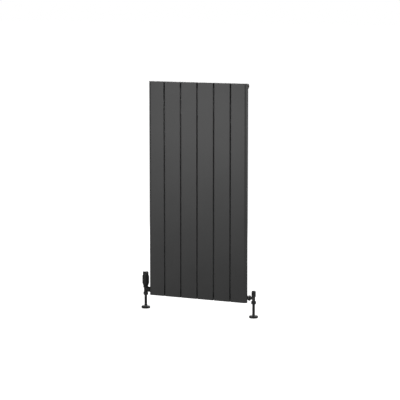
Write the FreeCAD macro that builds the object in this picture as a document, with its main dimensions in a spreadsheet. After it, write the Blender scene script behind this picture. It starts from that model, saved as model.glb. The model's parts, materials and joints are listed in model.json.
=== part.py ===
"""Vertical flat-panel radiator with a thermostatic valve and a lockshield valve.

Frame: millimetres, +X to the right seen from the room, -Y towards the room, +Z up.
The wall is the plane y = depth / 2, the floor is z = 0, and x = 0 is midway between
the two valves.  Every size is a cell of the sheet "Sizes".
"""
import FreeCAD, Part
import math
import os
import re

import Sketcher

# Driving sizes, in millimetres unless the name says otherwise.
SIZES = {
    # the whole object
    "depth": 80,                # wall to front face
    "floor_gap": 83,            # floor to the lower edge of the sections
    "section_height": 1200,
    "section_pitch": 100,
    "section_width": 95,
    "header_depth": 30,         # front face to the header and pipe axes
    "header_drop": 15,          # upper edge of the sections to the upper header axis
    "header_rise": 25.5,          # lower edge of the sections to the lower header axis
    "trv_reach": 36,            # side of the end section to the thermostatic valve's axis
    "lock_reach": 31.5,         # and to the lockshield valve's axis
    # the aluminium profile of a section
    "plate": 1.8,
    "side_depth": 17.5,
    "edge_radius": 3.5,
    "end_radius": 16.5,
    "tube_half": 18,
    "tube_front": 18,
    "tube_back": 42,
    "tube_radius": 6,
    "tube_wall": 2,
    "web": 1.6,
    "fin_reach": 31,
    "fin": 1.5,
    "milled_front": 15.5,       # the ends are milled back behind this depth
    "milled_reach": 18.5,       # and this far past the header axes
    "slot_radius": 14.5,
    # headers
    "header_radius": 14,
    "header_bore": 12.5,
    "header_inset": 8,          # side of the end section to the header's end
    "spigot_radius": 8,
    "spigot_hole": 8.1,
    "spigot_bore": 6,
    "spigot_length": 7.5,
    "nipple_length": 10,
    "nipple_play": 0.1,
    "seal_radius": 9.6,
    "seal_cord": 1.25,
    "bush_radius": 12.4,
    "bush_bore": 10.5,
    "bush_length": 18,
    "diverter_radius": 12.4,
    "diverter_length": 8,
    # plugs at the ends of the upper header
    "thread_radius": 10.4,
    "plug_length": 12,
    "plug_flange": 13.5,
    "plug_flange_length": 2.5,
    "plug_chamfer": 0.8,
    "gasket": 0.8,
    "gasket_bore": 10.6,
    "gasket_radius": 13,
    "key_recess": 8,            # across flats
    "key_depth": 6,
    "vent_recess": 5,
    "vent_recess_depth": 6,
    "vent_bore": 3.05,
    "bleed_radius": 3,
    "bleed_length": 7,
    "bleed_head": 5,            # across flats
    "bleed_head_length": 4.5,
    # wall brackets
    "bracket_spacing": 400,
    "bracket_width": 30,
    "bracket_sheet": 3,
    "hook_radius": 14.3,
    "hook_angle": 50,           # degrees round the header
    "bend_radius": 3,
    "plate_drop": 72,
    "fixing_hole": 3.5,
    "fixing_offset": 50,        # header axis to the fixing hole
    "pad_back": 22,
    "pad_radius": 14.1,
    "pad_play": 0.05,
    # supply pipes and their rosettes
    "pipe_radius": 7.5,
    "pipe_bore": 6.8,
    "pipe_gap": 0.2,            # end of the pipe to the stop in its socket
    "rosette_radius": 24.75,
    "rosette_rim": 11,
    "rosette_height": 18,
    "rosette_collar": 9,
    "rosette_shoulder": 16.2,
    "rosette_bore": 7.8,
    "rosette_wall": 1.3,
    "rosette_foot": 1.95,
    "rosette_cove": 8,
    "rosette_hollow": 1.8,
    # valve bodies: heights count from the lower header axis
    "body_foot": -26,
    "socket_radius": 7.65,
    "socket_top": -14,
    "mouth_radius": 8.6,
    "mouth_top": -23,
    "foot_radius": 10.25,
    "foot_top": -15.2,
    "union_radius": 12,
    "union_face": 25,
    "union_mouth": 8,
    "union_mouth_depth": 3,
    # the thermostatic valve body
    "trv_neck_top": 10,
    "trv_top": 18,
    "trv_branch_radius": 9,
    "trv_branch_length": 14.6,
    "trv_inlet": 6.8,
    "trv_seat_radius": 5,
    "trv_seat_low": -11,
    "trv_seat_top": -7,
    "trv_chamber": 8,
    "trv_chamber_top": 4,
    "trv_thread": 9.1,
    "trv_outlet": 6.5,
    # the lockshield valve body
    "lock_radius": 8.8,
    "lock_branch_radius": 8,
    "lock_top": 12,
    "lock_branch_length": 20.7,
    "lock_inlet": 5.5,
    "lock_seat_radius": 4.5,
    "lock_seat_low": -11,
    "lock_seat_top": -9,
    "lock_chamber": 6.6,
    "lock_chamber_top": 6,
    "lock_thread": 7.1,
    "lock_outlet": 5.8,
    # fittings round the pipes
    "nut_flats": 24,
    "nut_low": -32,
    "nut_cone_low": -29.6,
    "nut_cone_top": -27,
    "nut_thread_low": -26.8,
    "nut_top": -15,
    "nut_thread": 10.35,
    "olive_low": -29,
    "olive_middle": -26.6,
    "olive_top": -23.7,
    "olive_bore": 7.55,
    "olive_edge": 7.75,
    "olive_radius": 8.5,
    # fittings to the radiator
    "union_flats": 27,
    "union_back": 30,
    "union_lip": 28.5,
    "union_lip_bore": 10.7,
    "union_thread": 12.1,
    "trv_union_front": 14.5,
    "lock_union_front": 20.5,
    "trv_tail_end": 54,
    "lock_tail_end": 50,
    "tail_collar": 11.8,
    # thermostatic insert, pin and return spring
    "insert_low": 4.1,
    "insert_radius": 9,
    "insert_shoulder": 17,
    "insert_neck": 7,
    "insert_top": 26,
    "insert_cup": 4.6,
    "insert_floor": 8,
    "pin_radius": 1.5,
    "pin_bore": 1.55,
    "pin_top": 28.5,
    "pin_collar": 4.2,
    "pin_collar_low": 22,
    "pin_collar_top": 23.5,
    "disc_radius": 7,
    "disc_low": -2.7,
    "disc_top": -1.2,
    "washer_low": -4.7,
    "washer_radius": 6.5,
    "washer_bore": 1.6,
    "rivet_low": -5.7,
    "rivet_radius": 2.5,
    "spring_radius": 3,
    "spring_wire": 0.45,
    "spring_turns": 6,
    # thermostatic head
    "chamfer": 0.8,
    "collar_radius": 14.25,
    "collar_low": 9,
    "collar_top": 22,
    "collar_lip": 20.1,
    "collar_lip_bore": 10.6,
    "base_low": 18.05,
    "base_flange": 11.8,
    "base_flange_top": 20,
    "base_neck": 10.3,
    "base_cone_low": 22.5,
    "base_cone_radius": 14.2,
    "base_cone_top": 30,
    "base_radius": 18,
    "base_sleeve": 16.5,
    "base_top": 59,
    "base_bore": 7.3,
    "base_floor": 30,
    "base_cavity": 13.5,
    "ram_low": 29,
    "ram_radius": 2.2,
    "carrier_low": 60,
    "carrier_radius": 13,
    "capsule_low": 62,
    "capsule_radius": 12,
    "capsule_top": 92,
    "stud_radius": 3,
    "stud_top": 97.5,
    "wheel_low": 33,
    "wheel_radius": 19.5,
    "wheel_bore": 17,
    "wheel_shoulder": 78,
    "wheel_step": 81,
    "wheel_crown": 16,
    "wheel_crown_bore": 14,
    "wheel_ceiling": 98,
    "wheel_edge": 99,
    "wheel_top": 101,
    "wheel_dome": 12,
    "slot_low": 84,
    "slot_top": 95,
    "slot_half": 1.3,
    "slot_count": 12,
    # lockshield inside and cap
    "bonnet_low": 6.1,
    "bonnet_radius": 7,
    "bonnet_flats": 13,
    "bonnet_top": 17,
    "spindle_radius": 3,
    "spindle_bore": 3.05,
    "spindle_low": -1.5,
    "spindle_screw": 2.85,
    "spindle_collar": 4.5,
    "spindle_collar_low": 3.8,
    "spindle_collar_top": 5.8,
    "spindle_round_top": 22,
    "spindle_top": 31,
    "spindle_flats": 5,
    "cone_low": -4.9,
    "cone_top": 1.3,
    "cone_radius": 5.6,
    "cone_bore": 2.9,
    "cone_floor": -3.9,
    "lock_washer_low": -6.7,
    "lock_washer_radius": 5.4,
    "cap_radius": 12,
    "cap_low": 8.4,
    "cap_top": 43,
    "cap_edge": 38,
    "cap_dome": 6,
    "cap_mouth": 9.1,
    "cap_bore": 8.2,
    "cap_ceiling": 40,
}

SECTIONS = 6
# Places shared by many pieces, as expressions in the sheet's names.
HALF_WIDTH = f"({SECTIONS - 1} * section_pitch + section_width) / 2"
FRONT_Y = "-depth / 2"
AXIS_Y = "header_depth - depth / 2"
LOW_AXIS = "floor_gap + header_rise"
HIGH_AXIS = "floor_gap + section_height - header_drop"
HEADER_END = f"{HALF_WIDTH} - header_inset"
VALVE_X = {-1: f"-({HALF_WIDTH} + trv_reach)", 1: f"{HALF_WIDTH} + lock_reach"}
MIDDLE = "(trv_reach - lock_reach) / 2"     # x of the sections' middle

ALONG_X = FreeCAD.Rotation(FreeCAD.Vector(0, 1, 0), 90)
AGAINST_X = FreeCAD.Rotation(FreeCAD.Vector(0, 1, 0), -90)
UPRIGHT = FreeCAD.Rotation()
TURNED = FreeCAD.Rotation(FreeCAD.Vector(0, 0, 1), 180)

doc = FreeCAD.newDocument("radiator")
sheet = doc.addObject("Spreadsheet::Sheet", "Sizes")
for row, (alias, size) in enumerate(SIZES.items(), start=1):
    sheet.set(f"A{row}", alias)
    sheet.set(f"B{row}", str(size))
    sheet.setAlias(f"B{row}", alias)
doc.recompute()

nodes = []                      # the objects that become one file each


# ---- expressions and places -------------------------------------------------

def linked(text):
    """The expression with every size's name pointed at its cell."""
    def point(match):
        word = match.group(0)
        return f"Sizes.{word}" if word in SIZES else word
    return re.sub(r"[a-z_]+", point, text)


def number(text):
    """What the expression is worth with the sheet's present sizes."""
    return float(sheet.evalExpression(linked(text)))


def place(item, x="0", y="0", z="0", turn=UPRIGHT):
    """Turns the item, and binds its position to the sheet; x counts from the sections' middle."""
    item.Placement = FreeCAD.Placement(FreeCAD.Vector(), turn)
    for letter, text in zip("xyz", (f"{x} + {MIDDLE}", y, z)):
        item.setExpression(f"Placement.Base.{letter}", linked(text))
    return item


def keep(item):
    """Marks an object as a node of its own."""
    nodes.append(item)
    return item


def group(label, items):
    """One node made of several separate, identical solids."""
    compound = doc.addObject("Part::Compound", label)
    compound.Links = items
    return keep(compound)


# ---- sketches ---------------------------------------------------------------

def hold(sketch, constraint, text):
    """Adds a constraint and binds it to an expression."""
    index = sketch.addConstraint(constraint)
    sketch.setExpression(f"Constraints[{index}]", linked(text))


def hold_point(sketch, index, vertex, x, y):
    """Holds one vertex at a place counted from the sketch's origin."""
    hold(sketch, Sketcher.Constraint("DistanceX", -1, 1, index, vertex, number(x)), x)
    hold(sketch, Sketcher.Constraint("DistanceY", -1, 1, index, vertex, number(y)), y)


def add_circle(sketch, x, y, radius):
    """A circle held by its centre and radius."""
    centre = FreeCAD.Vector(number(x), number(y), 0)
    circle = Part.Circle(centre, FreeCAD.Vector(0, 0, 1), number(radius))
    index = sketch.addGeometry(circle, False)
    hold_point(sketch, index, 3, x, y)
    hold(sketch, Sketcher.Constraint("Radius", index, number(radius)), radius)


def arc_between(start, end, radius, turn):
    """The short arc from start to end; turn is 1 to the left and -1 to the right."""
    chord = end - start
    across = FreeCAD.Vector(-chord.y, chord.x, 0).normalize()
    rise = math.sqrt(max(radius ** 2 - (chord.Length / 2) ** 2, 0))
    centre = (start + end) * 0.5 + across * rise * turn
    angles = [math.atan2(point.y - centre.y, point.x - centre.x) for point in (start, end)]
    if turn < 0:
        angles.reverse()
    circle = Part.Circle(centre, FreeCAD.Vector(0, 0, 1), radius)
    return Part.ArcOfCircle(circle, angles[0], angles[1])


def add_outline(sketch, corners):
    """A closed outline.  A corner is (x, y), or (x, y, radius, turn) where an arc starts."""
    first = sketch.GeometryCount
    points = [FreeCAD.Vector(number(corner[0]), number(corner[1]), 0) for corner in corners]
    ends = []
    for corner, start, end in zip(corners, points, points[1:] + points[:1]):
        if len(corner) == 2:
            sketch.addGeometry(Part.LineSegment(start, end), False)
            ends.append((1, 2))
        else:
            turn = corner[3]
            sketch.addGeometry(arc_between(start, end, number(corner[2]), turn), False)
            ends.append((1, 2) if turn > 0 else (2, 1))
    for step, (start, end) in enumerate(ends):
        after = (step + 1) % len(ends)
        joined = Sketcher.Constraint("Coincident", first + step, end, first + after, ends[after][0])
        sketch.addConstraint(joined)
    for step, corner in enumerate(corners):
        hold_point(sketch, first + step, ends[step][0], corner[0], corner[1])
        if len(corner) > 2:
            hold(sketch, Sketcher.Constraint("Radius", first + step, number(corner[2])), corner[2])


def draw(body, plane, name, loops, offset="0"):
    """A sketch on one of the body's origin planes, from outlines and circles."""
    sketch = body.newObject("Sketcher::SketchObject", name)
    support = next(feature for feature in body.Origin.OriginFeatures if feature.Role == plane)
    sketch.AttachmentSupport = [(support, "")]
    sketch.MapMode = "FlatFace"
    sketch.setExpression("AttachmentOffset.Base.z", linked(offset))
    for loop in loops:
        if loop[0] == "circle":
            add_circle(sketch, *loop[1:])
        else:
            add_outline(sketch, loop)
    doc.recompute()
    return sketch


def rectangle(left, right, low, high):
    """The four corners of a rectangle."""
    return [(left, low), (right, low), (right, high), (left, high)]


def rounded(half, low, high, radius):
    """A rectangle with round corners, symmetric about x = 0."""
    return [
        (f"-({half}) + {radius}", low),
        (f"{half} - ({radius})", low, radius, 1),
        (half, f"{low} + {radius}"),
        (half, f"{high} - ({radius})", radius, 1),
        (f"{half} - ({radius})", high),
        (f"-({half}) + {radius}", high, radius, 1),
        (f"-({half})", f"{high} - ({radius})"),
        (f"-({half})", f"{low} + {radius}", radius, 1),
    ]


def hexagon(flats, turn=0):
    """Six corners, from the width across flats and a turn in degrees."""
    angles = [60 * step + turn for step in range(6)]
    return [(f"{flats} / sqrt(3) * cos({angle}deg)", f"{flats} / sqrt(3) * sin({angle}deg)")
            for angle in angles]


# ---- features ---------------------------------------------------------------

def new_body(label):
    return doc.addObject("PartDesign::Body", label)


def solid_volume(body):
    """The body's present volume, 0 while it is empty."""
    return 0 if body.Shape.isNull() else body.Shape.Volume


def settle(body, feature, before, cuts):
    """Recomputes, and stops if the feature added or removed nothing."""
    doc.recompute()
    after = solid_volume(body)
    worked = after < before if cuts else after > before
    if not worked:
        raise RuntimeError(f"{feature.Name} in {body.Label} changed nothing")
    return feature


def extrude(kind, body, loops, length, plane="XY_Plane", offset="0", both=False, back=False):
    """A Pad or a Pocket of a given length from outlines on an origin plane."""
    before = solid_volume(body)
    sketch = draw(body, plane, f"{body.Name}_outline", loops, offset)
    feature = body.newObject(f"PartDesign::{kind}", f"{body.Name}_{kind.lower()}")
    feature.Profile = (sketch, [""])
    feature.setExpression("Length", linked(length))
    feature.Midplane = both
    feature.Reversed = back
    return settle(body, feature, before, cuts=kind == "Pocket")


def revolve(kind, body, corners, axis="V_Axis"):
    """A Revolution or a Groove about the upright or the level axis of a sketch."""
    before = solid_volume(body)
    sketch = draw(body, "XZ_Plane", f"{body.Name}_outline", [corners])
    feature = body.newObject(f"PartDesign::{kind}", f"{body.Name}_{kind.lower()}")
    feature.Profile = (sketch, [""])
    feature.ReferenceAxis = (sketch, [axis])
    feature.Angle = 360
    return settle(body, feature, before, cuts=kind == "Groove")


def turned_piece(label, corners):
    """A round piece about its own Z axis, from corners (radius, height)."""
    body = new_body(label)
    revolve("Revolution", body, corners)
    return body


def ring(label, bore, radius, low, high):
    """A plain ring between two heights."""
    return turned_piece(label, rectangle(bore, radius, low, high))


def hex_piece(label, flats, low, high, turn=0):
    """A hexagonal bar about its own Z axis, with both ends chamfered."""
    body = new_body(label)
    extrude("Pad", body, [hexagon(flats, turn)], f"{high} - ({low})", offset=low)
    point = f"{flats} / sqrt(3) + 1"
    flat = f"{flats} / 2"
    drop = f"({flats} / sqrt(3) + 1 - {flats} / 2) * tan(30deg)"
    revolve("Groove", body, [(flat, high), (point, f"{high} - {drop}"), (point, f"{high} + 1"),
                             (flat, f"{high} + 1")])
    revolve("Groove", body, [(flat, low), (flat, f"{low} - 1"), (point, f"{low} - 1"),
                             (point, f"{low} + {drop}")])
    return body


# ---- sections ---------------------------------------------------------------

def section_outline(left, right):
    """The profile seen from above: face, sides, two webs, water tube and fins."""
    half = "section_width / 2"
    edge = "tube_half - tube_radius"
    low_fin = "header_depth - fin / 2"
    high_fin = "header_depth + fin / 2"
    return [
        (f"-{half}", "side_depth"),
        (f"-{half}", left, left, 1),
        (f"-{half} + {left}", "0"),
        (f"{half} - {right}", "0", right, 1),
        (half, right),
        (half, "side_depth"),
        (f"{half} - plate", "side_depth"),
        (f"{half} - plate", right, f"{right} - plate", -1),
        (f"{half} - {right}", "plate"),
        (edge, "plate"),
        (edge, "tube_front", "tube_radius", 1),
        ("tube_half", "tube_front + tube_radius"),
        ("tube_half", low_fin),
        ("fin_reach", low_fin),
        ("fin_reach", high_fin),
        ("tube_half", high_fin),
        ("tube_half", "tube_back - tube_radius", "tube_radius", 1),
        (edge, "tube_back"),
        (f"-({edge})", "tube_back", "tube_radius", 1),
        ("-tube_half", "tube_back - tube_radius"),
        ("-tube_half", high_fin),
        ("-fin_reach", high_fin),
        ("-fin_reach", low_fin),
        ("-tube_half", low_fin),
        ("-tube_half", "tube_front + tube_radius", "tube_radius", 1),
        (f"-({edge})", "tube_front"),
        (f"-({edge})", "plate"),
        (f"-{half} + {left}", "plate", f"{left} - plate", -1),
        (f"-{half} + plate", left),
        (f"-{half} + plate", "side_depth"),
    ]


def header_slot(axis, low, high):
    """A slot for the header, open to the back: a quarter circle below, straight above."""
    corners = [
        ("depth", f"{axis} - slot_radius"),
        ("depth", high),
        ("milled_front", high),
        ("milled_front", axis, "slot_radius", 1),
        ("header_depth", f"{axis} - slot_radius"),
    ]
    if low:
        corners[1:3] = [("depth", f"{axis} + slot_radius"),
                        ("header_depth", f"{axis} + slot_radius", "slot_radius", 1)]
    return corners


def make_section(place_number):
    """One extruded section; the first and last have a broad rounded outer side."""
    side = {1: -1, SECTIONS: 1}.get(place_number, 0)
    left = "end_radius" if side < 0 else "edge_radius"
    right = "end_radius" if side > 0 else "edge_radius"
    body = new_body(f"section_{place_number}")
    edge = "tube_half - tube_radius - web"
    cell = rectangle(f"-({edge})", edge, "plate", "tube_front")
    water = rounded("tube_half - tube_wall", "tube_front + tube_wall",
                    "tube_back - tube_wall", "tube_radius - tube_wall")
    extrude("Pad", body, [section_outline(left, right), cell, water], "section_height")
    low_end = rectangle("milled_front", "depth", "-1", "header_rise + milled_reach")
    high_end = rectangle("milled_front", "depth", "section_height - header_drop - milled_reach",
                         "section_height + 1")
    extrude("Pocket", body, [low_end, high_end], f"section_width - {abs(side)} * plate",
            plane="YZ_Plane", offset=f"{-side} * plate / 2", both=True)
    if side:
        slots = [header_slot("header_rise", True, None),
                 header_slot("section_height - header_drop", False, "section_height + 1")]
        extrude("Pocket", body, slots, "section_width * 2", plane="YZ_Plane", both=True)
    middle = (SECTIONS + 1) / 2
    place(body, f"{place_number - middle} * section_pitch", FRONT_Y, "floor_gap")
    return keep(body)


# ---- headers ----------------------------------------------------------------

def section_places():
    """The x of each section's middle, as expressions."""
    middle = (SECTIONS - 1) / 2
    return [f"{step - middle} * section_pitch" for step in range(SECTIONS)]


def make_header(label, height, opens_up):
    """The cross tube, with a round hole for each section's nipple."""
    body = new_body(label)
    revolve("Revolution", body, rectangle(f"-({HEADER_END})", HEADER_END, "header_bore",
                                          "header_radius"), axis="H_Axis")
    holes = [("circle", x, "0", "spigot_hole") for x in section_places()]
    extrude("Pocket", body, holes, "header_radius + 1", back=opens_up)
    place(body, y=AXIS_Y, z=height)
    return keep(body)


def make_nipples(label, height, upward):
    """Nipples that plug each water tube and enter the header, and their seals."""
    sign = 1 if upward else -1
    nipples = []
    seals = []
    for step, x in enumerate(section_places(), start=1):
        body = new_body(f"{label}_nipple_{step}")
        half_depth = "(tube_back - tube_front) / 2 - tube_wall - nipple_play"
        oval = rounded("tube_half - tube_wall - nipple_play", f"-({half_depth})", f"{half_depth}",
                       "tube_radius - tube_wall")
        bore = ("circle", "0", "0", "spigot_bore")
        extrude("Pad", body, [oval, bore], "nipple_length", back=upward)
        spigot = ("circle", "0", "0", "spigot_radius")
        extrude("Pad", body, [spigot, bore], "spigot_length", back=not upward)
        place(body, x, AXIS_Y, f"{height} - {sign} * milled_reach")
        nipples.append(body)
        seal = doc.addObject("Part::Torus", f"{label}_seal_{step}")
        seal.setExpression("Radius1", linked("seal_radius"))
        seal.setExpression("Radius2", linked("seal_cord"))
        place(seal, x, AXIS_Y, f"{height} - {sign} * (milled_reach - seal_cord * 1.1)")
        seals.append(seal)
    group(f"{label}_nipples", nipples)
    group(f"{label}_nipple_seals", seals)


def make_bushes():
    """The threaded bushes in the four header ends."""
    bushes = []
    for height in (LOW_AXIS, HIGH_AXIS):
        for side, turn in ((1, AGAINST_X), (-1, ALONG_X)):
            bush = ring(f"bush_{len(bushes) + 1}", "bush_bore", "bush_radius", "0", "bush_length")
            place(bush, f"{side} * ({HEADER_END})", AXIS_Y, height, turn)
            bushes.append(bush)
    group("header_bushes", bushes)


def make_diverter():
    """The blank in the lower header that sends the flow up the first section."""
    body = turned_piece("flow_diverter", rectangle("0", "diverter_radius", "-diverter_length / 2",
                                                   "diverter_length / 2"))
    place(body, f"{(3 - SECTIONS) / 2 - 0.5} * section_pitch", AXIS_Y, LOW_AXIS, ALONG_X)
    keep(body)


def plug_outline(bore):
    """Thread inside the bush, then a chamfered flange outside the gasket."""
    face = "gasket + plug_flange_length"
    return [
        (bore, "-plug_length"),
        ("thread_radius", "-plug_length"),
        ("thread_radius", "gasket"),
        ("plug_flange", "gasket"),
        ("plug_flange", f"{face} - plug_chamfer"),
        ("plug_flange - plug_chamfer", face),
        (bore, face),
    ]


def make_plugs():
    """A blank plug at the upper left, and an air vent with its screw at the upper right."""
    face = "gasket + plug_flange_length"
    blank = turned_piece("blanking_plug", plug_outline("0"))
    extrude("Pocket", blank, [hexagon("key_recess")], "key_depth", offset=face)
    place(blank, f"-({HEADER_END})", AXIS_Y, HIGH_AXIS, AGAINST_X)
    keep(blank)

    vent = turned_piece("air_vent_plug", plug_outline("vent_bore"))
    recess = ("circle", "0", "0", "vent_recess")
    extrude("Pocket", vent, [recess], "vent_recess_depth", offset=face)
    place(vent, HEADER_END, AXIS_Y, HIGH_AXIS, ALONG_X)
    keep(vent)

    seat = f"{face} - vent_recess_depth"
    screw = turned_piece("bleed_screw", [
        ("0", f"{seat} - bleed_length - bleed_radius"),
        ("bleed_radius", f"{seat} - bleed_length"),
        ("bleed_radius", f"{seat} + 1"),
        ("0", f"{seat} + 1"),
    ])
    half = "bleed_head / 2"
    extrude("Pad", screw, [rectangle(f"-{half}", half, f"-{half}", half)], "bleed_head_length",
            offset=f"{seat} + 0.5")
    place(screw, HEADER_END, AXIS_Y, HIGH_AXIS, ALONG_X)
    keep(screw)

    for label, side, turn in (("blanking_plug_gasket", -1, AGAINST_X),
                              ("vent_plug_gasket", 1, ALONG_X)):
        gasket = ring(label, "gasket_bore", "gasket_radius", "0", "gasket")
        keep(place(gasket, f"{side} * ({HEADER_END})", AXIS_Y, HIGH_AXIS, turn))


# ---- wall brackets ----------------------------------------------------------

def bracket_outline(plate_down):
    """A bent strip seen from the side: hook, arm under the header, and wall plate."""
    outer = "hook_radius + bracket_sheet"
    wall = "depth - header_depth"
    inner_wall = f"{wall} - bracket_sheet"
    outer_bend = "bend_radius + bracket_sheet"
    tip = [
        ("0", f"-({outer})", outer, -1),
        (f"-({outer}) * sin(hook_angle * 1deg)", f"-({outer}) * cos(hook_angle * 1deg)"),
        ("-hook_radius * sin(hook_angle * 1deg)", "-hook_radius * cos(hook_angle * 1deg)",
         "hook_radius", 1),
        ("0", "-hook_radius"),
    ]
    if plate_down:
        end = "-hook_radius - plate_drop"
        return tip + [
            (f"{wall} - ({outer_bend})", "-hook_radius", outer_bend, -1),
            (wall, f"-hook_radius - ({outer_bend})"),
            (wall, end),
            (inner_wall, end),
            (inner_wall, f"-({outer}) - bend_radius", "bend_radius", 1),
            (f"{inner_wall} - bend_radius", f"-({outer})"),
        ]
    end = "plate_drop - hook_radius"
    return tip + [
        (f"{inner_wall} - bend_radius", "-hook_radius", "bend_radius", 1),
        (inner_wall, "-hook_radius + bend_radius"),
        (inner_wall, end),
        (wall, end),
        (wall, f"-({outer}) + {outer_bend}", outer_bend, -1),
        (f"{wall} - ({outer_bend})", f"-({outer})"),
    ]


def make_brackets():
    """Four hooked strips, and the saddle pads between them and the headers."""
    pads = []
    saddle = [
        ("pad_radius * sin(30deg)", "-hook_radius + pad_play"),
        ("pad_back", "-hook_radius + pad_play"),
        ("pad_back", "-pad_radius * cos(70deg)"),
        ("pad_radius * sin(70deg)", "-pad_radius * cos(70deg)", "pad_radius", -1),
        ("pad_radius * sin(30deg)", "-pad_radius * cos(30deg)"),
    ]
    for rank, height, down in (("upper", HIGH_AXIS, True), ("lower", LOW_AXIS, False)):
        for hand, side in (("left", -1), ("right", 1)):
            x = f"{side} * bracket_spacing / 2"
            body = new_body(f"{rank}_bracket_{hand}")
            extrude("Pad", body, [bracket_outline(down)], "bracket_width", plane="YZ_Plane", both=True)
            hole_height = "-fixing_offset" if down else "fixing_offset"
            hole = ("circle", "0", hole_height, "fixing_hole")
            extrude("Pocket", body, [hole], "depth", plane="XZ_Plane", back=False)
            keep(place(body, x, AXIS_Y, height))
            block = new_body(f"bracket_pad_{len(pads) + 1}")
            extrude("Pad", block, [saddle], "bracket_width", plane="YZ_Plane", both=True)
            pads.append(place(block, x, AXIS_Y, height))
    group("bracket_pads", pads)


# ---- valves -----------------------------------------------------------------

def make_valve(prefix, side, barrel, chamber, branch, outlet, union_front, tail_end):
    """A valve body with its pipe fittings and its union to the radiator.

    The piece's own X axis runs from the valve to the radiator.
    """
    x = VALVE_X[side]
    to_radiator = UPRIGHT if side < 0 else TURNED
    body = turned_piece(f"{prefix}_body", barrel)
    revolve("Revolution", body, branch, axis="H_Axis")
    revolve("Groove", body, chamber)
    revolve("Groove", body, outlet, axis="H_Axis")
    keep(place(body, x, AXIS_Y, LOW_AXIS, to_radiator))

    nut = hex_piece(f"{prefix}_compression_nut", "nut_flats", "nut_low", "nut_top", turn=14)
    revolve("Groove", nut, [
        ("0", "nut_low - 1"), ("socket_radius", "nut_low - 1"), ("socket_radius", "nut_cone_low"),
        ("mouth_radius", "nut_cone_top"), ("nut_thread", "nut_thread_low"),
        ("nut_thread", "nut_top + 1"), ("0", "nut_top + 1"),
    ])
    keep(place(nut, x, AXIS_Y, LOW_AXIS))

    olive = turned_piece(f"{prefix}_olive", [
        ("olive_bore", "olive_low"), ("olive_edge", "olive_low"),
        ("olive_radius", "olive_middle"), ("olive_edge", "olive_top"),
        ("olive_bore", "olive_top"),
    ])
    keep(place(olive, x, AXIS_Y, LOW_AXIS))

    run = ALONG_X if side < 0 else AGAINST_X
    union = hex_piece(f"{prefix}_union_nut", "union_flats", union_front, "union_back", turn=8)
    revolve("Groove", union, [
        ("0", f"{union_front} - 1"), ("union_thread", f"{union_front} - 1"),
        ("union_thread", "union_lip"), ("union_lip_bore", "union_lip"),
        ("union_lip_bore", "union_back + 1"), ("0", "union_back + 1"),
    ])
    keep(place(union, x, AXIS_Y, LOW_AXIS, run))

    tail = turned_piece(f"{prefix}_tailpiece", [
        ("lock_outlet", "union_face"), ("tail_collar", "union_face"), ("tail_collar", "union_lip"),
        ("thread_radius", "union_lip"), ("thread_radius", tail_end), ("lock_outlet", tail_end),
    ])
    keep(place(tail, x, AXIS_Y, LOW_AXIS, run))


def branch_outline(radius, length):
    """The horizontal branch with its union thread, as corners (reach, radius)."""
    return [
        ("0", "0"), ("union_face", "0"), ("union_face", "union_radius"),
        (length, "union_radius"), (length, radius), ("0", radius),
    ]


def outlet_outline(start, radius):
    """The bore of the branch with its conical mouth."""
    return [
        (start, "0"), ("union_face + 1", "0"), ("union_face + 1", "union_mouth"),
        ("union_face", "union_mouth"), ("union_face - union_mouth_depth", radius), (start, radius),
    ]


def bore_outline(inlet, seat_low, seat, seat_top, room, room_top, thread, top):
    """Pipe socket, seat and chamber of a valve body, from below."""
    return [
        ("0", "body_foot - 1"), ("mouth_radius", "body_foot - 1"), ("mouth_radius", "body_foot"),
        ("socket_radius", "mouth_top"), ("socket_radius", "socket_top"), (inlet, "socket_top"),
        (inlet, seat_low), (seat, seat_low), (seat, seat_top), (room, seat_top),
        (room, room_top), (thread, room_top), (thread, f"{top} + 1"), ("0", f"{top} + 1"),
    ]


def make_pipes():
    """The two supply pipes and the rosettes that cover their holes in the floor."""
    for hand, side in (("left", -1), ("right", 1)):
        x = VALVE_X[side]
        top = f"{LOW_AXIS} + socket_top - pipe_gap"
        pipe = ring(f"supply_pipe_{hand}", "pipe_bore", "pipe_radius", "0", top)
        keep(place(pipe, x, AXIS_Y))
        rosette = turned_piece(f"rosette_{hand}", [
            ("rosette_radius - rosette_foot", "0"),
            ("rosette_radius", "0"),
            ("rosette_radius", "rosette_rim"),
            ("rosette_collar + rosette_cove", "rosette_shoulder - 1"),
            ("rosette_collar", "rosette_shoulder"),
            ("rosette_collar", "rosette_height"),
            ("rosette_bore", "rosette_height"),
            ("rosette_bore", "rosette_shoulder - 1"),
            ("rosette_collar + rosette_hollow", "rosette_shoulder - 1 - rosette_wall"),
        ])
        keep(place(rosette, x, AXIS_Y))


# ---- thermostatic valve -----------------------------------------------------

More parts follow.
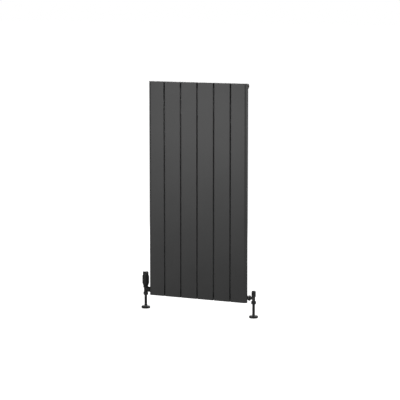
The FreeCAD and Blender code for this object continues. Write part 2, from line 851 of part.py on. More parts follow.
def make_trv_inside(x):
    """Insert, pin with its disc and washer, and the return spring."""
    insert = turned_piece("trv_insert", [
        ("pin_bore", "insert_low"), ("insert_radius", "insert_low"),
        ("insert_radius", "insert_shoulder"), ("insert_neck", "insert_shoulder"),
        ("insert_neck", "insert_top"), ("insert_cup", "insert_top"),
        ("insert_cup", "insert_floor"), ("pin_bore", "insert_floor"),
    ])
    pin = turned_piece("trv_pin", [
        ("0", "rivet_low"), ("rivet_radius", "rivet_low"), ("rivet_radius", "washer_low"),
        ("pin_radius", "washer_low"), ("pin_radius", "disc_low"), ("disc_radius", "disc_low"),
        ("disc_radius", "disc_top"), ("pin_radius", "disc_top"), ("pin_radius", "pin_collar_low"),
        ("pin_collar", "pin_collar_low"), ("pin_collar", "pin_collar_top"),
        ("pin_radius", "pin_collar_top"), ("pin_radius", "pin_top"), ("0", "pin_top"),
    ])
    washer = ring("trv_disc_washer", "washer_bore", "washer_radius", "washer_low", "disc_low")
    for piece in (insert, pin, washer):
        keep(place(piece, x, AXIS_Y, LOW_AXIS))

    spring = new_body("trv_return_spring")
    low = "insert_floor + spring_wire"
    sketch = draw(spring, "XZ_Plane", "spring_wire_section",
                  [("circle", "spring_radius", low, "spring_wire")])
    coil = spring.newObject("PartDesign::AdditiveHelix", "spring_coil")
    coil.Profile = (sketch, [""])
    coil.ReferenceAxis = (sketch, ["V_Axis"])
    coil.Mode = "height-turns-angle"
    coil.setExpression("Height", linked("pin_collar_low - insert_floor - spring_wire * 2"))
    coil.setExpression("Turns", linked("spring_turns"))
    settle(spring, coil, before=0, cuts=False)
    keep(place(spring, x, AXIS_Y, LOW_AXIS))


def make_trv_head(x):
    """Collar nut, fixed base, sensor capsule and the slotted handwheel."""
    collar = turned_piece("trv_collar_nut", [
        ("union_thread", "collar_low"), ("collar_radius - chamfer", "collar_low"),
        ("collar_radius", "collar_low + chamfer"), ("collar_radius", "collar_top - chamfer"),
        ("collar_radius - chamfer", "collar_top"), ("collar_lip_bore", "collar_top"),
        ("collar_lip_bore", "collar_lip"), ("union_thread", "collar_lip"),
    ])
    base = turned_piece("trv_head_base", [
        ("base_bore", "base_low"), ("base_flange", "base_low"), ("base_flange", "base_flange_top"),
        ("base_neck", "base_flange_top"), ("base_neck", "base_cone_low"),
        ("base_cone_radius", "base_cone_low"), ("base_radius", "base_cone_top"),
        ("base_sleeve", "base_cone_top"), ("base_sleeve", "base_top"),
        ("base_cavity", "base_top"), ("base_cavity", "base_floor"), ("base_bore", "base_floor"),
    ])
    sensor = turned_piece("sensor_capsule", [
        ("0", "ram_low"), ("ram_radius", "ram_low"), ("ram_radius", "carrier_low"),
        ("carrier_radius", "carrier_low"), ("carrier_radius", "capsule_low"),
        ("capsule_radius", "capsule_low"), ("capsule_radius", "capsule_top"),
        ("stud_radius", "capsule_top"), ("stud_radius", "stud_top"), ("0", "stud_top"),
    ])
    wheel = turned_piece("handwheel", [
        ("wheel_bore", "wheel_low"), ("wheel_radius - chamfer", "wheel_low"),
        ("wheel_radius", "wheel_low + chamfer"), ("wheel_radius", "wheel_shoulder"),
        ("wheel_crown", "wheel_step"), ("wheel_crown", "wheel_edge"),
        ("wheel_dome", "wheel_top"), ("0", "wheel_top"), ("0", "wheel_ceiling"),
        ("wheel_crown_bore", "wheel_ceiling"), ("wheel_crown_bore", "wheel_step - 2"),
        ("wheel_bore", "wheel_shoulder - 2"),
    ])
    opening = rectangle("-slot_half", "slot_half", "slot_low", "slot_top")
    slot = extrude("Pocket", wheel, [opening], "wheel_radius + 1", plane="XZ_Plane")
    one_slot = solid_volume(wheel)
    pattern = wheel.newObject("PartDesign::PolarPattern", "handwheel_slots")
    pattern.Originals = [slot]
    upright = next(part for part in wheel.Origin.OriginFeatures if part.Role == "Z_Axis")
    pattern.Axis = (upright, [""])
    pattern.Angle = 360
    pattern.setExpression("Occurrences", linked("slot_count"))
    wheel.Tip = pattern
    settle(wheel, pattern, one_slot, cuts=True)
    for piece in (collar, base, sensor, wheel):
        keep(place(piece, x, AXIS_Y, LOW_AXIS))


# ---- lockshield valve -------------------------------------------------------

def make_lockshield_inside(x):
    """Bonnet, spindle, lifting cone with its washer, and the push-on cap."""
    bonnet = hex_piece("lockshield_bonnet", "bonnet_flats", "lock_top", "bonnet_top")
    revolve("Revolution", bonnet, rectangle("0", "bonnet_radius", "bonnet_low", "lock_top + 1"))
    revolve("Groove", bonnet, rectangle("0", "spindle_bore", "bonnet_low - 1", "bonnet_top + 1"))
    spindle = turned_piece("lockshield_spindle", [
        ("0", "spindle_low"), ("spindle_screw", "spindle_low"),
        ("spindle_screw", "spindle_collar_low"), ("spindle_collar", "spindle_collar_low"),
        ("spindle_collar", "spindle_collar_top"), ("spindle_radius", "spindle_collar_top"),
        ("spindle_radius", "spindle_round_top"), ("0", "spindle_round_top"),
    ])
    half = "spindle_flats / 2"
    extrude("Pad", spindle, [rectangle(f"-{half}", half, f"-{half}", half)],
            "spindle_top - spindle_round_top + 1", offset="spindle_round_top - 1")
    cone = turned_piece("lockshield_cone", [
        ("0", "cone_low"), ("cone_radius", "cone_low"), ("cone_radius", "cone_top"),
        ("cone_bore", "cone_top"), ("cone_bore", "cone_floor"), ("0", "cone_floor"),
    ])
    washer = turned_piece("lockshield_washer", rectangle("0", "lock_washer_radius", "lock_washer_low",
                                                         "cone_low"))
    cap = turned_piece("lockshield_cap", [
        ("cap_mouth", "cap_low"), ("cap_radius", "cap_low"), ("cap_radius", "cap_edge"),
        ("cap_dome", "cap_top"), ("0", "cap_top"), ("0", "cap_ceiling"),
        ("cap_bore", "cap_ceiling"), ("cap_bore", "lock_top"), ("cap_mouth", "lock_top"),
    ])
    for piece in (bonnet, spindle, cone, washer, cap):
        keep(place(piece, x, AXIS_Y, LOW_AXIS))


# ---- the whole radiator -----------------------------------------------------

for section_number in range(1, SECTIONS + 1):
    make_section(section_number)
make_header("upper_header", HIGH_AXIS, opens_up=False)
make_header("lower_header", LOW_AXIS, opens_up=True)
make_nipples("upper", HIGH_AXIS, upward=True)
make_nipples("lower", LOW_AXIS, upward=False)
make_bushes()
make_diverter()
make_plugs()
make_brackets()
make_pipes()
make_valve(
    "trv", -1,
    [("0", "body_foot"), ("foot_radius", "body_foot"), ("foot_radius", "trv_neck_top"),
     ("union_radius", "trv_neck_top"), ("union_radius", "trv_top"), ("0", "trv_top")],
    bore_outline("trv_inlet", "trv_seat_low", "trv_seat_radius", "trv_seat_top", "trv_chamber",
                 "trv_chamber_top", "trv_thread", "trv_top"),
    branch_outline("trv_branch_radius", "trv_branch_length"),
    outlet_outline("trv_seat_radius", "trv_outlet"), "trv_union_front", "trv_tail_end")
make_valve(
    "lockshield", 1,
    [("0", "body_foot"), ("foot_radius", "body_foot"), ("foot_radius", "foot_top"),
     ("lock_radius", "foot_top"), ("lock_radius", "lock_top"), ("0", "lock_top")],
    bore_outline("lock_inlet", "lock_seat_low", "lock_seat_radius", "lock_seat_top", "lock_chamber",
                 "lock_chamber_top", "lock_thread", "lock_top"),
    branch_outline("lock_branch_radius", "lock_branch_length"),
    outlet_outline("lock_seat_radius", "lock_outlet"), "lock_union_front", "lock_tail_end")
make_trv_inside(VALVE_X[-1])
make_trv_head(VALVE_X[-1])
make_lockshield_inside(VALVE_X[1])

doc.recompute()
for item in doc.Objects:
    if {"Invalid", "Error"} & set(item.State):
        raise RuntimeError(f"{item.Label} did not recompute")
for item in nodes:
    if item.Shape.isNull() or not item.Shape.isValid():
        raise RuntimeError(f"{item.Label} has no valid shape")

os.makedirs("parts", exist_ok=True)
for item in nodes:
    item.Shape.exportStep(f"parts/{item.Label}.step")
print(f"{len(nodes)} nodes written")
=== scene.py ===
"""Looks of a tall flat-panel radiator with its valves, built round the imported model.

Metres, +X to the right seen from the room, -Y towards the room, +Z up, floor at z = 0.
The outlines of turned pieces are in millimetres.
"""
import json
import math

import bmesh
import bpy
from mathutils import Matrix, Vector


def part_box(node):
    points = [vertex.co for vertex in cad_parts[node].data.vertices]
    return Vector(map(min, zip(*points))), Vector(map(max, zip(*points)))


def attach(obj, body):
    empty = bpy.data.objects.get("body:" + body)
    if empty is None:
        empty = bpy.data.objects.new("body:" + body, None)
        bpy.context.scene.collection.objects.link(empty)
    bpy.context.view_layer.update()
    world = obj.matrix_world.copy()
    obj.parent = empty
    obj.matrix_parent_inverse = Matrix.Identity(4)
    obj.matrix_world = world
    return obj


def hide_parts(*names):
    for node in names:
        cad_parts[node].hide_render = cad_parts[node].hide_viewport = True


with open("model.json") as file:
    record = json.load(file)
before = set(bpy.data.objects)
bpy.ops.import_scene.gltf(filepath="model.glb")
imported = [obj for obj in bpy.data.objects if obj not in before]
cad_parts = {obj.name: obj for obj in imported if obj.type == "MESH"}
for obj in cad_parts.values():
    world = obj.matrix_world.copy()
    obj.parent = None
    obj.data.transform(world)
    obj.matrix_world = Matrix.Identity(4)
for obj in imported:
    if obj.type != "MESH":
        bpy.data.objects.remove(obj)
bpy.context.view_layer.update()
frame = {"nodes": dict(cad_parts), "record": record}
MM = 0.001
FRONT = -math.pi / 2            # the angle round Z that faces the room
CREASE = math.radians(32)       # edges that turn more than this stay sharp

# ---- camera -----------------------------------------------------------------

CAMERA_PLACE = Vector((3.858, -8.206, 1.820))
CAMERA_YAW = math.radians(25.168)
CAMERA_PITCH = math.radians(7.464)
CAMERA_LENS = 149.0
CAMERA_SENSOR = 36


def add_camera():
    """A long lens from the right, a little above the radiator."""
    data = bpy.data.cameras.new("camera")
    data.lens = CAMERA_LENS
    data.sensor_width = CAMERA_SENSOR
    camera = bpy.data.objects.new("camera", data)
    camera.location = CAMERA_PLACE
    camera.rotation_euler = (math.pi / 2 - CAMERA_PITCH, 0, CAMERA_YAW)
    bpy.context.collection.objects.link(camera)
    bpy.context.scene.camera = camera


# ---- node graphs ------------------------------------------------------------

def grey(value):
    """An RGBA colour from a grey level or three channels."""
    if isinstance(value, (int, float)):
        value = (value, value, value)
    return (*value, 1.0)


class Graph:
    """A material's nodes, with short ways to add and join them."""

    RAMP_START = 0.3
    RAMP_END = 0.7

    def __init__(self, name):
        self.material = bpy.data.materials.new(name)
        self.material.use_nodes = True
        self.nodes = self.material.node_tree.nodes
        self.links = self.material.node_tree.links
        self.shader = self.nodes["Principled BSDF"]

    def add(self, kind):
        return self.nodes.new(f"ShaderNode{kind}")

    def place(self):
        """Where a point is on its own piece, in metres."""
        return self.add("TexCoord").outputs["Object"]

    def noise(self, scale, detail=2.0, at=None):
        """Noise of so many cells to the metre."""
        node = self.add("TexNoise")
        node.inputs["Scale"].default_value = scale
        node.inputs["Detail"].default_value = detail
        self.links.new(at or self.place(), node.inputs["Vector"])
        return node.outputs["Fac"]

    def ramp(self, value, low, high):
        """Runs a value from one colour or grey level to another."""
        node = self.add("ValToRGB")
        first, last = node.color_ramp.elements
        first.position, last.position = self.RAMP_START, self.RAMP_END
        first.color, last.color = grey(low), grey(high)
        self.links.new(value, node.inputs["Fac"])
        return node.outputs["Color"]

    def bump(self, *layers):
        """Stacks (height, strength, distance) layers into one normal."""
        normal = None
        for height, strength, distance in layers:
            node = self.add("Bump")
            node.inputs["Strength"].default_value = strength
            node.inputs["Distance"].default_value = distance
            self.links.new(height, node.inputs["Height"])
            if normal:
                self.links.new(normal, node.inputs["Normal"])
            normal = node.outputs["Normal"]
        self.links.new(normal, self.shader.inputs["Normal"])

    def set(self, **values):
        """Sets or joins the shader's own sockets, named with _ for spaces."""
        for key, given in values.items():
            socket = self.shader.inputs[key.replace("_", " ")]
            if isinstance(given, bpy.types.NodeSocket):
                self.links.new(given, socket)
            else:
                socket.default_value = given


# ---- materials --------------------------------------------------------------

COARSE_GRAIN = 1400.0
FINE_GRAIN = 2200.0
PLASTIC_GRAIN = 2600.0
RUBBER_GRAIN = 1800.0


def powder_coat(name, dark, light, grain=COARSE_GRAIN, gloss=(0.44, 0.56)):
    """Matt textured powder coat: cured speckle, orange peel and faint tone changes."""
    graph = Graph(name)
    speckle = graph.noise(grain, detail=3)
    tone = graph.noise(6.0, detail=3)
    graph.set(Base_Color=graph.ramp(tone, dark, light), Roughness=graph.ramp(speckle, *gloss))
    orange_peel = graph.noise(260.0, detail=1)
    graph.bump((orange_peel, 0.05, 0.0004), (speckle, 0.12, 0.00015))
    return graph.material


def moulded_plastic(name, dark, light):
    """Fine-eroded moulded plastic."""
    graph = Graph(name)
    grain = graph.noise(PLASTIC_GRAIN)
    tone = graph.noise(30.0)
    graph.set(Base_Color=graph.ramp(tone, dark, light), Roughness=graph.ramp(grain, 0.38, 0.5))
    graph.bump((grain, 0.1, 0.0001))
    return graph.material


def turned_metal(name, shade, colour):
    """Machined metal with fine turning lines round the vertical and dull patches."""
    graph = Graph(name)
    stretch = graph.add("Mapping")
    stretch.inputs["Scale"].default_value = (40.0, 40.0, 3000.0)
    graph.links.new(graph.place(), stretch.inputs["Vector"])
    lines = graph.noise(1.0, at=stretch.outputs["Vector"])
    patches = graph.noise(60.0, detail=3)
    graph.set(Base_Color=graph.ramp(patches, shade, colour), Metallic=1.0,
              Roughness=graph.ramp(patches, 0.4, 0.22))
    graph.bump((lines, 0.08, 0.0001))
    return graph.material


def rubber(name, dark, light):
    """Matt black rubber with a bloom."""
    graph = Graph(name)
    bloom = graph.noise(120.0, detail=3)
    graph.set(Base_Color=graph.ramp(bloom, dark, light), Roughness=graph.ramp(bloom, 0.7, 0.85))
    graph.bump((graph.noise(RUBBER_GRAIN), 0.1, 0.0001))
    return graph.material


# slot: finish, darkest and lightest colour, and what else the finish is told
FINISHES = {
    "panel_paint": (powder_coat, 0.040, 0.046),
    "header_paint": (powder_coat, 0.036, 0.042),
    "bracket_paint": (powder_coat, 0.034, 0.040),
    "valve_paint": (powder_coat, 0.016, 0.021, FINE_GRAIN, (0.36, 0.48)),
    "pipe_paint": (powder_coat, 0.014, 0.018, FINE_GRAIN, (0.34, 0.46)),
    "brass": (turned_metal, (0.62, 0.45, 0.2), (0.78, 0.58, 0.27)),
    "stainless": (turned_metal, (0.52, 0.52, 0.53), (0.66, 0.66, 0.67)),
    "spring_steel": (turned_metal, (0.38, 0.38, 0.4), (0.5, 0.5, 0.52)),
    "aluminium": (turned_metal, (0.66, 0.66, 0.67), (0.78, 0.78, 0.79)),
    "seal_rubber": (rubber, 0.012, 0.02),
    "head_plastic": (moulded_plastic, 0.014, 0.018),
    "cap_plastic": (moulded_plastic, 0.016, 0.021),
    "rosette_plastic": (moulded_plastic, 0.015, 0.020),
    "pad_plastic": (moulded_plastic, 0.03, 0.04),
    "sensor_plastic": (moulded_plastic, 0.55, 0.62),
}
MATERIALS = {slot: finish(slot, *told) for slot, (finish, *told) in FINISHES.items()}
SLOTS = {part["node"]: part["material_slot"] for part in frame["record"]["subparts"]}


def paint(piece, slot):
    """Gives a piece its slot's material and no other."""
    piece.data.materials.clear()
    piece.data.materials.append(MATERIALS[slot])


def paint_frame():
    """Gives every carried-over node its material."""
    for node, piece in frame["nodes"].items():
        paint(piece, SLOTS[node])


# ---- meshes -----------------------------------------------------------------

ROUNDING_STEPS = 5


def soften(corners):
    """Replaces each corner (radius, height, rounding) by an arc of that rounding."""
    line = []
    for number, corner in enumerate(corners):
        here = Vector(corner[:2])
        rounding = corner[2] if len(corner) > 2 else 0
        if not rounding:
            line.append(here)
            continue
        before = Vector(corners[number - 1][:2]) - here
        after = Vector(corners[(number + 1) % len(corners)][:2]) - here
        half = before.angle(after) / 2
        reach = min(rounding / math.tan(half), before.length * 0.49, after.length * 0.49)
        start = here + before.normalized() * reach
        end = here + after.normalized() * reach
        for step in range(ROUNDING_STEPS + 1):
            share = step / ROUNDING_STEPS
            rest = 1 - share
            line.append(rest ** 2 * start + 2 * share * rest * here + share ** 2 * end)
    return line


def divide(line, step, closed):
    """Adds points to a line so that none are further apart than step."""
    points = []
    last = len(line) if closed else len(line) - 1
    for number in range(last):
        start = line[number]
        end = line[(number + 1) % len(line)]
        parts = max(1, math.ceil((end - start).length / step))
        points += [start.lerp(end, part / parts) for part in range(parts)]
    if not closed:
        points.append(line[-1])
    return points


def round_shape(angle, radius, height):
    """The plain shape: the same radius all the way round."""
    return radius


def turned(name, corners, count=96, shape=round_shape, step=50.0):
    """Turns (radius, height, rounding) corners, in mm, round Z.

    The outline closes on itself, or on the axis if it starts there. shape gives the
    radius at each angle, and step is the longest side that stays undivided.
    """
    closed = corners[0][0] > 0
    points = divide(soften(corners), step, closed)
    mesh = bmesh.new()
    rings = []
    for radius, height in points:
        if radius < 1e-6:
            rings.append([mesh.verts.new((0, 0, height * MM))])
            continue
        ring = []
        for number in range(count):
            angle = math.tau * number / count
            reach = shape(angle, radius, height) * MM
            place = (reach * math.cos(angle), reach * math.sin(angle), height * MM)
            ring.append(mesh.verts.new(place))
        rings.append(ring)
    pairs = list(zip(rings, rings[1:]))
    if closed:
        pairs.append((rings[-1], rings[0]))
    for low, high in pairs:
        for number in range(count):
            after = (number + 1) % count
            if len(low) == 1 and len(high) > 1:
                mesh.faces.new((low[0], high[after], high[number]))
            elif len(high) == 1 and len(low) > 1:
                mesh.faces.new((low[number], low[after], high[0]))
            elif len(low) > 1:
                mesh.faces.new((low[number], low[after], high[after], high[number]))
    bmesh.ops.recalc_face_normals(mesh, faces=mesh.faces)
    return finish_mesh(name, mesh)


def smooth(data):
    """Smooth shading but for the sharp edges."""
    data.shade_smooth()
    data.set_sharp_from_angle(angle=CREASE)


def finish_mesh(name, mesh):
    """A bmesh as an object."""
    data = bpy.data.meshes.new(name)
    mesh.to_mesh(data)
    mesh.free()
    smooth(data)
    piece = bpy.data.objects.new(name, data)
    bpy.context.collection.objects.link(piece)
    return piece


def prism(mesh, first, second):
    """Adds a closed solid between two outlines of the same number of corners."""
    rings = [[mesh.verts.new(corner) for corner in outline] for outline in (first, second)]
    mesh.faces.new(rings[0])
    mesh.faces.new(rings[1][::-1])
    for corner in range(len(first)):
        after = (corner + 1) % len(first)
        mesh.faces.new((rings[0][after], rings[0][corner], rings[1][corner], rings[1][after]))


def raised_bar(mesh, angle, half, low, high, inner, outer):
    """Adds a small curved bar on a barrel, from angle - half to angle + half."""
    steps = 4
    slope = 0.1
    profile = ((inner, low), (outer, low + slope), (outer, high - slope), (inner, high))
    slices = []
    for step in range(steps + 1):
        turn = angle - half + 2 * half * step / steps
        across, out = math.cos(turn), math.sin(turn)
        slices.append([mesh.verts.new((radius * MM * across, radius * MM * out, height * MM))
                       for radius, height in profile])
    for first, second in zip(slices, slices[1:]):
        for side in range(len(profile) - 1):
            mesh.faces.new((first[side], second[side], second[side + 1], first[side + 1]))
    mesh.faces.new(slices[0])
    mesh.faces.new(slices[-1][::-1])


def join(piece, other):
    """Adds another piece's mesh to a piece and removes that other piece."""
    mesh = bmesh.new()
    mesh.from_mesh(piece.data)
    mesh.from_mesh(other.data)
    bpy.data.objects.remove(other)
    mesh.to_mesh(piece.data)
    mesh.free()


def cut(piece, cutter):
    """Takes a closed cutter out of a piece, and removes the cutter."""
    tool = piece.modifiers.new("cut", "BOOLEAN")
    tool.operation = "DIFFERENCE"
    tool.solver = "EXACT"
    tool.object = cutter
    graph = bpy.context.evaluated_depsgraph_get()
    data = bpy.data.meshes.new_from_object(piece.evaluated_get(graph))
    piece.modifiers.remove(tool)
    piece.data = data
    bpy.data.objects.remove(cutter)
    smooth(data)


# ---- shapes round a turned piece --------------------------------------------

def hexagon(flats, turn, low, high):
    """A nut: flats across, turned by an angle, chamfered towards both ends."""
    apothem = flats / 2
    corner = apothem / math.cos(math.pi / 6)
    crown = 1.4
    slope = 1.25

    def shape(angle, radius, height):
        if radius < apothem - 0.6:
            return radius
        sector = (angle - turn) % (math.pi / 3) - math.pi / 6
        ends = min(height - low, high - height)
        limit = corner - max(0.0, crown - ends) * slope
        return min(apothem / math.cos(sector), limit)

    return shape


def knurl(count, depth, low, high, fade):
    """A grip: flutes between two heights, which fade out towards them."""

    def shape(angle, radius, height):
        end = min(height - low, high - height) / fade
        share = min(1.0, max(0.0, end))
        wave = 0.5 - 0.5 * math.cos(count * angle)
        return radius - depth * share * wave ** 1.5

    return shape


def outside(shape, limit):
    """The shape for radii over a limit; bores stay round."""

    def chosen(angle, radius, height):
        return shape(angle, radius, height) if radius > limit else radius

    return chosen


# ---- putting pieces in place ------------------------------------------------

def middle(node):
    """The middle of a CAD node's box."""
    low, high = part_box(node)
    return (Vector(low) + Vector(high)) / 2


def finish_piece(piece, node, body):
    """Paints a piece that stands for a CAD node and joins it to its body."""
    slot = SLOTS[node]
    paint(piece, slot)
    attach(piece, body)
    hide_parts(node)


def stand(piece, node, body):
    """Puts an upright piece on the node's axis, its zero height on the header's axis."""
    centre = middle(node)
    place = Vector((centre.x, centre.y, middle("lower_header").z))
    piece.matrix_world = Matrix.Translation(place)
    finish_piece(piece, node, body)


def lay(piece, node, place, side):
    """Lays a piece down along X, its top towards the side -1 or 1."""
    turn = Matrix.Rotation(side * math.pi / 2, 4, "Y")
    piece.matrix_world = Matrix.Translation(place) @ turn
    finish_piece(piece, node, "radiator")


# ---- valves -----------------------------------------------------------------
# Heights count from the axis of the lower header, in mm, as radii do.

def make_compression_nut(node):
    """The nut that clamps the pipe in the valve's foot."""
    low, high = -32, -15
    nut = turned(node, [
        (7.9, low), (11.6, low), (13.8, -31.4), (13.8, -15.6), (11.6, high), (10.35, high),
        (10.35, -26.8), (8.6, -27), (7.65, -29.6),
    ], count=144, shape=hexagon(24, math.radians(14), low, high), step=0.45)
    stand(nut, node, "radiator")


def make_union_nut(node, front, pipe, side):
    """The nut between valve and radiator; its heights count from the pipe's axis."""
    back = 30
    nut = turned(node, [
        (12.1, front), (13.2, front), (15.5, front + 0.6), (15.5, 29.4), (13.2, back),
        (10.7, back), (10.7, 28.5), (12.1, 28.5),
    ], count=144, shape=hexagon(27, math.radians(8), front, back), step=0.45)
    axis = middle(pipe)
    lay(nut, node, Vector((axis.x, axis.y, middle("lower_header").z)), side)


def make_collar_nut():
    """The knurled nut that holds the head on the valve."""
    nut = turned("trv_collar_nut", [
        (12.1, 9), (13.2, 9, 0.3), (14.25, 10, 0.3), (14.25, 21, 0.3), (13.2, 22, 0.3),
        (10.6, 22), (10.6, 20.1), (12.1, 20.1),
    ], count=240, shape=outside(knurl(40, 0.55, 10.2, 20.8, 1.0), 13.9), step=0.8)
    stand(nut, "trv_collar_nut", "radiator")


def make_head_base():
    """The fixed lower cone, with a raised pointer of two bars at the front."""
    cone_low, cone_high = 22.5, 29.2
    narrow, wide = 14.2, 17.9
    base = turned("trv_head_base", [
        (7.3, 18.05), (11.8, 18.05), (11.8, 20), (10.3, 20), (10.3, cone_low),
        (narrow, cone_low, 0.5), (wide, cone_high, 0.8), (wide, 30, 0.3), (16.5, 30),
        (16.5, 59), (13.5, 59), (13.5, 31), (7.3, 31),
    ], count=128)
    mesh = bmesh.new()
    for half, low, high in ((0.050, 27.0, 29.0), (0.028, 24.8, 26.9)):
        share = ((low + high) / 2 - cone_low) / (cone_high - cone_low)
        cone = narrow + (wide - narrow) * share
        raised_bar(mesh, FRONT, half, low, high, cone - 0.6, cone + 0.5)
    join(base, finish_mesh("pointer", mesh))
    stand(base, "trv_head_base", "radiator")


def vent_slots(count, half, low, high, inner, outer):
    """Cutters for upright slots with round ends, spaced evenly round a wall."""
    steps = 6
    outline = []
    for centre, start in ((high - half, 0), (low + half, math.pi)):
        for step in range(steps + 1):
            angle = start + math.pi * step / steps
            outline.append((half * math.cos(angle), centre + half * math.sin(angle)))
    mesh = bmesh.new()
    for number in range(count):
        turn = Matrix.Rotation(math.tau * number / count, 4, "Z")
        first, second = ([turn @ Vector((across, -reach, height)) * MM
                          for across, height in outline] for reach in (inner, outer))
        prism(mesh, first, second)
    bmesh.ops.recalc_face_normals(mesh, faces=mesh.faces)
    return finish_mesh("slots", mesh)


def dial_bars():
    """A square dot and then one to five bars side by side, round the head's foot."""
    pitch = math.radians(40)
    gap = 0.075
    low = 37.0
    mesh = bmesh.new()
    for mark in range(6):
        bars = max(1, mark)
        high = low + (2.6 if mark else 1.0)
        for bar in range(bars):
            angle = FRONT + pitch * (mark - 2.5) + gap * (bar - (bars - 1) / 2)
            raised_bar(mesh, angle, 0.02, low, high, 19.0, 19.48)
    return finish_mesh("dial_bars", mesh)


def make_handwheel():
    """The head: fluted grip, shoulder, slotted crown with a sunk lid, and dial bars."""
    grip = outside(knurl(36, 0.45, 43.0, 75.0, 2.0), 18.2)
    wheel = turned("handwheel", [
        (17, 33), (18.5, 33, 0.6), (19.3, 34.6, 0.6), (19.3, 77.0, 2.2), (16.1, 81.2, 1.2),
        (16, 98.6, 2.2), (13.4, 101, 0.8), (12.6, 101, 0.3), (12.2, 100.3, 0.3), (0, 100.6),
        (0, 98), (14, 98), (14, 79), (17, 76),
    ], count=216, shape=grip, step=2.0)
    cut(wheel, vent_slots(12, 1.3, 84, 95, 12.5, 20))
    join(wheel, dial_bars())
    stand(wheel, "handwheel", "handwheel")


def make_lockshield_cap():
    """The fluted cap with a domed top, open below."""
    grip = outside(knurl(24, 0.45, 11.5, 32.5, 2.5), 11.6)
    cap = turned("lockshield_cap", [
        (9.1, 8.4), (11.3, 8.4, 0.4), (12, 9.2, 0.4), (12, 39.0, 4.8), (5.4, 43, 3.0), (0, 43),
        (0, 40), (8.2, 40), (8.2, 12), (9.1, 12),
    ], count=192, shape=grip, step=1.5)
    stand(cap, "lockshield_cap", "lockshield_cap")


# ---- floor rosettes and radiator plugs --------------------------------------

def make_rosette(node):
    """A cover with a thick rounded rim, a swept cone and a collar, on the floor."""
    cover = turned(node, [
        (22.8, 0), (23.7, 0, 0.4), (24.75, 3.5, 2.5), (24.75, 11.4, 4.5), (17.2, 15.4, 5.0),
        (9.4, 16.4, 1.0), (9, 18, 0.5), (7.8, 18), (7.8, 15.2), (10.8, 13.9),
    ], count=128)
    centre = middle(node)
    cover.matrix_world = Matrix.Translation((centre.x, centre.y, 0))
    finish_piece(cover, node, node)


PLUG_TOP = 3.3          # the plug's head above the face that it is screwed to, in mm
PLUG_SHANK = [(10.4, -12, 0.6), (10.4, 0.8), (13.5, 0.8), (13.5, 2.6, 0.6), (12.2, PLUG_TOP, 0.4)]


def plug_place(node, side):
    """The point on a plug's axis that its heights count from."""
    low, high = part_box(node)
    centre = middle(node)
    outer = high[0] if side > 0 else low[0]
    return Vector((outer - side * PLUG_TOP * MM, centre.y, centre.z))


def key_cutter(flats, low, high):
    """A cutter for a hexagon key recess."""
    corner = flats / 2 / math.cos(math.pi / 6)
    turns = [math.pi / 3 * side for side in range(6)]
    mesh = bmesh.new()
    first, second = ([Vector((corner * math.cos(turn), corner * math.sin(turn), height)) * MM
                      for turn in turns] for height in (low, high))
    prism(mesh, first[::-1], second[::-1])
    return finish_mesh("key", mesh)


def make_blanking_plug():
    """The blind plug at the upper left, with a hexagon key recess."""
    node, side = "blanking_plug", -1
    plug = turned(node, [(0, -12), *PLUG_SHANK, (6.2, PLUG_TOP, 0.3), (5.2, 2.3), (0, 2.3)],
                  count=216, step=0.8)
    cut(plug, key_cutter(8, -2.7, 4))
    lay(plug, node, plug_place(node, side), side)


def make_vent_plug():
    """The knurled plug at the upper right, open for the bleed screw."""
    node, side = "air_vent_plug", 1
    plug = turned(node, [(3.05, -12), *PLUG_SHANK, (5.6, PLUG_TOP, 0.3), (5, 2.8), (5, -2.7),
                         (3.05, -2.7)],
                  count=216, shape=outside(knurl(36, 0.45, 0.9, 3.2, 0.4), 13.0), step=0.8)
    lay(plug, node, plug_place(node, side), side)


def make_fittings():
    """Every piece that stands for a plain CAD node with a finer mesh."""
    make_compression_nut("trv_compression_nut")
    make_compression_nut("lockshield_compression_nut")
    make_union_nut("trv_union_nut", 14.5, "supply_pipe_left", 1)
    make_union_nut("lockshield_union_nut", 20.5, "supply_pipe_right", -1)
    make_collar_nut()
    make_head_base()
    make_handwheel()
    make_lockshield_cap()
    make_rosette("rosette_left")
    make_rosette("rosette_right")
    make_blanking_plug()
    make_vent_plug()


# ---- edges of the CAD nodes that stay ---------------------------------------

SOFTENED = ("trv_body", "lockshield_body", "upper_bracket_left", "upper_bracket_right",
            "lower_bracket_left", "lower_bracket_right")
EDGE_WIDTH = 0.4
WELD_DISTANCE = 0.005


def soften_frame():
    """Breaks the edges of the castings and brackets."""
    for node in SOFTENED:
        modifiers = frame["nodes"][node].modifiers
        weld = modifiers.new("weld", "WELD")
        weld.merge_threshold = WELD_DISTANCE * MM
        bevel = modifiers.new("soft_edges", "BEVEL")
        bevel.width = EDGE_WIDTH * MM
        bevel.segments = 2
        bevel.limit_method = "ANGLE"
        bevel.angle_limit = CREASE
        bevel.harden_normals = True


# ---- light and floor --------------------------------------------------------

FILL_LIGHT = 0.2        # the world's light on the object
FLOOR_HALF = 60.0
FLOOR_SEEN = 0.96       # what the camera sees of the floor
FLOOR_GREY = 0.3        # what the floor throws back on the object


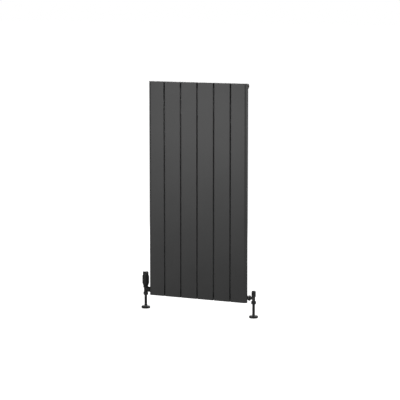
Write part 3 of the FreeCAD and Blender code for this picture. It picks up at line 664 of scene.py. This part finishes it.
def add_softbox(name, place, target, size, power):
    """A rectangular lamp that shines on its target and doesn't show itself."""
    data = bpy.data.lights.new(name, "AREA")
    data.shape = "RECTANGLE"
    data.size, data.size_y = size
    data.energy = power
    light = bpy.data.objects.new(name, data)
    light.location = place
    light.rotation_euler = (Vector(target) - Vector(place)).to_track_quat("-Z", "Y").to_euler()
    light.visible_camera = False
    bpy.context.collection.objects.link(light)


def add_world():
    """White where the camera sees it, a softer even light on the object."""
    world = bpy.data.worlds.new("studio")
    bpy.context.scene.world = world
    world.use_nodes = True
    nodes = world.node_tree.nodes
    links = world.node_tree.links
    fill = nodes["Background"]
    seen = nodes.new("ShaderNodeBackground")
    for background, strength in ((fill, FILL_LIGHT), (seen, 1.0)):
        background.inputs["Color"].default_value = grey(1.0)
        background.inputs["Strength"].default_value = strength
    path = nodes.new("ShaderNodeLightPath")
    mix = nodes.new("ShaderNodeMixShader")
    links.new(path.outputs["Is Camera Ray"], mix.inputs["Fac"])
    links.new(fill.outputs["Background"], mix.inputs[1])
    links.new(seen.outputs["Background"], mix.inputs[2])
    links.new(mix.outputs["Shader"], nodes["World Output"].inputs["Surface"])


def add_floor():
    """A wide pale floor that the camera sees as nearly white."""
    half = FLOOR_HALF
    mesh = bpy.data.meshes.new("floor")
    mesh.from_pydata([(-half, -half, 0), (half, -half, 0), (half, half, 0), (-half, half, 0)],
                     [], [(0, 1, 2, 3)])
    floor = bpy.data.objects.new("floor", mesh)
    bpy.context.collection.objects.link(floor)
    graph = Graph("floor_white")
    seen = graph.add("LightPath").outputs["Is Camera Ray"]
    graph.set(Base_Color=grey(FLOOR_GREY), Roughness=0.9, Specular_IOR_Level=0.0,
              Emission_Color=grey(FLOOR_SEEN), Emission_Strength=seen)
    mesh.materials.append(graph.material)


def add_studio():
    """Soft light that is brighter on the upper half, and a lamp for the back."""
    bpy.context.scene.view_settings.view_transform = "Standard"
    add_world()
    add_floor()
    add_softbox("key", (-0.6, -2.0, 1.06), (-0.1, 0.0, 0.95), (1.2, 0.8), 20.8)
    add_softbox("right", (2.4, -0.1, 1.8), (0.3, 0.0, 1.2), (1.0, 1.4), 36)
    add_softbox("behind", (-0.8, 2.6, 1.8), (0, 0, 0.6), (3.0, 2.0), 110)


# ---- the scene --------------------------------------------------------------

add_camera()
paint_frame()
soften_frame()
make_fittings()
add_studio()
